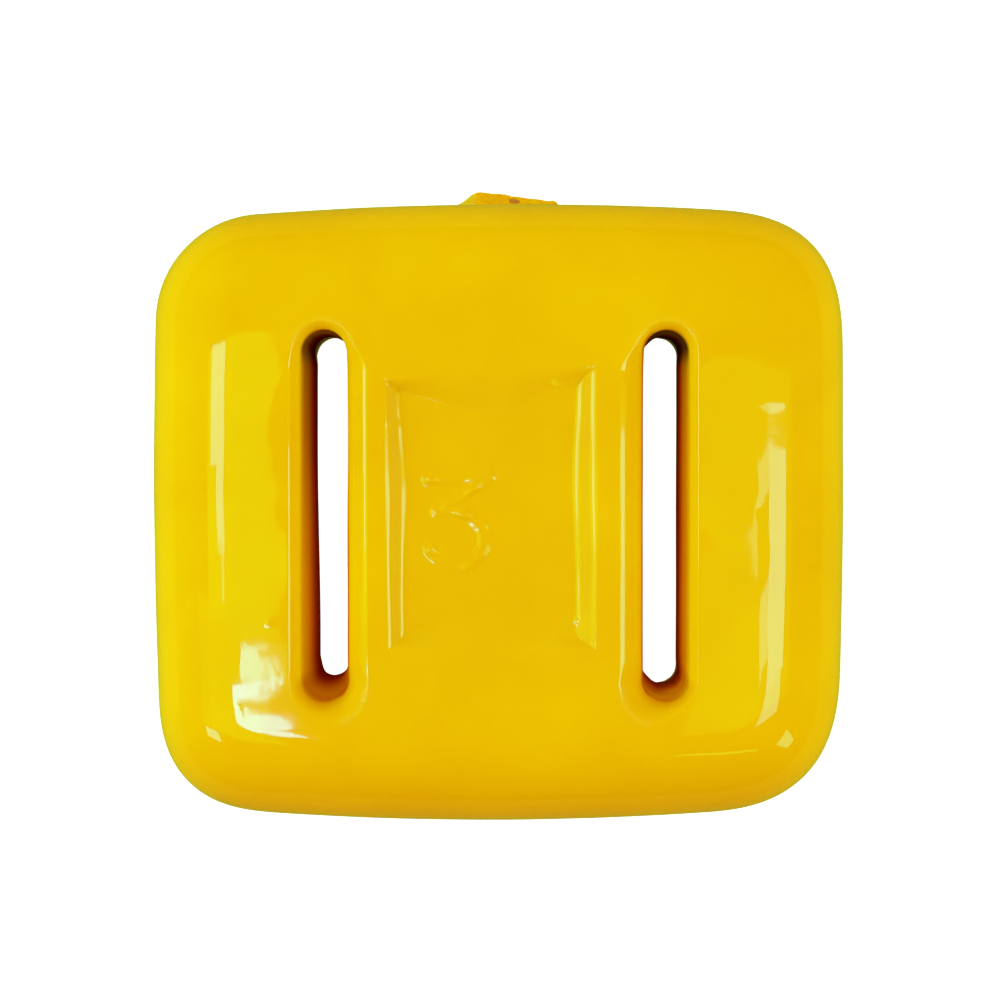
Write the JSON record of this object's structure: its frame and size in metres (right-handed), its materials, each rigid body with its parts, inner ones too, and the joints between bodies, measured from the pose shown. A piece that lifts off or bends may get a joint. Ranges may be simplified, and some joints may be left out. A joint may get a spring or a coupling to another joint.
{
  "type": "coated lead dive weight",
  "caption": "Rounded rectangular belt weight: a cast lead block in a thick soft plastic skin, with long through slots for webbing and a shallow sunken panel between them.",
  "frame": {"origin": "the middle of the flat back, left out of account the small cut tab on the top edge", "axes": "+X along the width, across both slots; +Y along the slots, towards the edge with the cut hanging tab; +Z through the thickness, from the flat back to the face with the sunken panel"},
  "size_m": [0.109, 0.0996, 0.035],
  "materials": {
    "pvc": "thick dipped soft PVC, high gloss",
    "lead": "as-cast dull grey lead",
    "steel": "cut steel wire, rusted at its end"
  },
  "bodies": {
    "root": {"lead_core": "lead", "pvc_coating": "pvc", "hanger_wire": "steel"}
  },
  "joints": []
}
